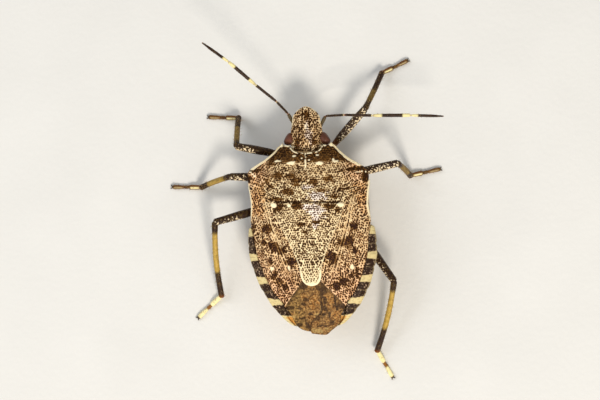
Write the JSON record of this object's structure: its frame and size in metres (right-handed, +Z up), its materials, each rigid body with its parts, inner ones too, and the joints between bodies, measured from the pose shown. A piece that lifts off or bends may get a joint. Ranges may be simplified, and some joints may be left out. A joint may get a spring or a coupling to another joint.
{
  "type": "shield bug",
  "caption": "Life-size brown marbled shield bug standing with its legs spread and feelers out, wings folded over the back.",
  "frame": {"origin": "centre of the bounding box at floor level, under the feet", "axes": "+Z up; the head points to -Y and the tail to +Y; the insect's left side is +X"},
  "size_m": [0.0196, 0.0246, 0.0051],
  "materials": {
    "back_cuticle": "satin cuticle, densely pitted in dark brown",
    "membrane": "thin brown wing membrane with a soft shine",
    "eye": "glossy red-brown, finely faceted",
    "belly_cuticle": "satin tan cuticle with dark pits",
    "leg_cuticle": "satin cuticle, mottled brown and cream",
    "feeler_cuticle": "satin dark brown cuticle with pale bands"
  },
  "bodies": {
    "root": {"head": "back_cuticle", "pronotum": "back_cuticle", "scutellum": "back_cuticle", "corium_left": "back_cuticle", "corium_right": "back_cuticle", "membrane_left": "membrane", "membrane_right": "membrane", "eye_left": "eye", "eye_right": "eye", "thorax": "belly_cuticle", "abdomen": "belly_cuticle", "beak_1": "belly_cuticle", "beak_2": "belly_cuticle", "beak_3": "belly_cuticle", "beak_4": "belly_cuticle", "coxa_fore_left": "leg_cuticle", "femur_fore_left": "leg_cuticle", "tibia_fore_left": "leg_cuticle", "tarsus_fore_left": "leg_cuticle", "coxa_fore_right": "leg_cuticle", "femur_fore_right": "leg_cuticle", "tibia_fore_right": "leg_cuticle", "tarsus_fore_right": "leg_cuticle", "coxa_mid_left": "leg_cuticle", "femur_mid_left": "leg_cuticle", "tibia_mid_left": "leg_cuticle", "tarsus_mid_left": "leg_cuticle", "coxa_mid_right": "leg_cuticle", "femur_mid_right": "leg_cuticle", "tibia_mid_right": "leg_cuticle", "tarsus_mid_right": "leg_cuticle", "coxa_hind_left": "leg_cuticle", "femur_hind_left": "leg_cuticle", "tibia_hind_left": "leg_cuticle", "tarsus_hind_left": "leg_cuticle", "coxa_hind_right": "leg_cuticle", "femur_hind_right": "leg_cuticle", "tibia_hind_right": "leg_cuticle", "tarsus_hind_right": "leg_cuticle", "antenna_left_1": "feeler_cuticle", "antenna_left_2": "feeler_cuticle", "antenna_left_3": "feeler_cuticle", "antenna_left_4": "feeler_cuticle", "antenna_left_5": "feeler_cuticle", "antenna_right_1": "feeler_cuticle", "antenna_right_2": "feeler_cuticle", "antenna_right_3": "feeler_cuticle", "antenna_right_4": "feeler_cuticle", "antenna_right_5": "feeler_cuticle"}
  },
  "joints": []
}
